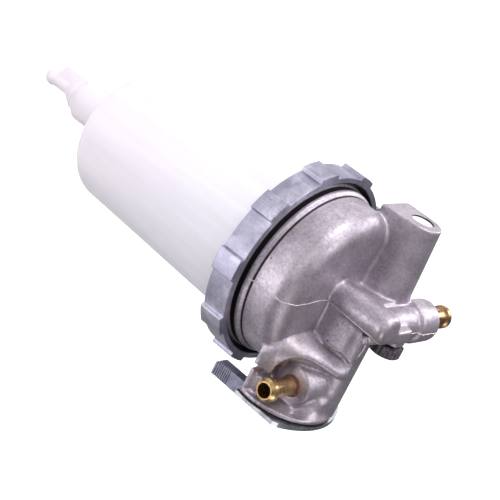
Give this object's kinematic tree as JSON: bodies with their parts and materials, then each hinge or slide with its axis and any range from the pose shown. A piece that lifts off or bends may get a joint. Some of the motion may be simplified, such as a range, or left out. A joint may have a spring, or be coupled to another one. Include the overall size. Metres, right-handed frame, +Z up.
{
  "type": "fuel water separator",
  "caption": "Fuel water separator: die-cast head with mounting bar and hose nipples, threaded ring nut, long milky bowl with a drain plug.",
  "frame": {"origin": "centre of the flat rear mounting face, midway between its two threaded holes", "axes": "+Z up along the bowl's axis, +Y out of the mounting face towards the bracket, +X along the mounting bar towards the inlet and cock"},
  "size_m": [0.1176, 0.114, 0.251],
  "materials": {
    "casting": "sand-grey die casting, satin",
    "ring_metal": "die casting with machined bright facets",
    "bowl_plastic": "milky white, slightly translucent",
    "spout_plastic": "milky white",
    "seal_rubber": "black",
    "nipple_brass": "turned",
    "cover_steel": "zinc plated",
    "screw_steel": "zinc plated",
    "cock_brass": "turned",
    "lever_metal": "die casting",
    "plug_steel": "bright",
    "cap_metal": "black, semi-matt",
    "baffle_plastic": "off-white",
    "float_plastic": "red"
  },
  "bodies": {
    "head": {"head_casting": "casting", "inlet_nipple": "nipple_brass", "outlet_nipple": "nipple_brass", "end_gasket": "seal_rubber", "end_cover": "cover_steel", "cover_screws": "screw_steel", "gallery_plug": "plug_steel", "baffle": "baffle_plastic", "baffle_screws": "screw_steel"},
    "bowl": {"bowl": "bowl_plastic", "bowl_gasket": "seal_rubber"},
    "ring": {"ring_nut": "ring_metal"},
    "float": {"float_ring": "float_plastic"},
    "drain_seal": {"drain_oring": "seal_rubber"},
    "drain": {"drain_plug": "spout_plastic"},
    "cock": {"cock_plug": "cock_brass", "cock_oring": "seal_rubber", "thrust_washer": "screw_steel", "cock_lever": "lever_metal", "lever_nut": "screw_steel"},
    "bleed_seal": {"bleed_washer": "seal_rubber"},
    "bleed": {"bleed_screw": "cap_metal"}
  },
  "joints": [
    {"name": "bowl_drop", "type": "slide", "parent": "head", "child": "bowl", "axis": [0, 0, -1], "range_m": [0, 0.009]},
    {"name": "ring_turn", "type": "hinge", "parent": "bowl", "child": "ring", "pos_m": [0, -0.0348, -0.02], "axis": [0, 0, -1], "range_deg": [0, 1080]},
    {"name": "float_rise", "type": "slide", "parent": "bowl", "child": "float", "axis": [0, 0, 1], "range_m": [0, 0.095]},
    {"name": "drain_seal_drop", "type": "slide", "parent": "bowl", "child": "drain_seal", "axis": [0, 0, -1], "range_m": [0, 0.003]},
    {"name": "drain_turn", "type": "hinge", "parent": "drain_seal", "child": "drain", "pos_m": [0, -0.0348, -0.185], "axis": [0, 0, -1], "range_deg": [0, 720]},
    {"name": "cock_turn", "type": "hinge", "parent": "head", "child": "cock", "pos_m": [0.052, -0.0373, 0.012], "axis": [-1, 0, 0], "range_deg": [0, 90]},
    {"name": "bleed_seal_out", "type": "slide", "parent": "head", "child": "bleed_seal", "axis": [1, 0, 0], "range_m": [0, 0.003]},
    {"name": "bleed_turn", "type": "hinge", "parent": "bleed_seal", "child": "bleed", "pos_m": [0.01, -0.0173, 0.028], "axis": [1, 0, 0], "range_deg": [0, 1080]}
  ],
  "couplings": [
    {"joint": "ring_turn", "follows": "bowl_drop", "rad_per_m": 2094.4},
    {"joint": "drain_turn", "follows": "drain_seal_drop", "rad_per_m": 4188.8},
    {"joint": "bleed_turn", "follows": "bleed_seal_out", "rad_per_m": 6283.2}
  ]
}
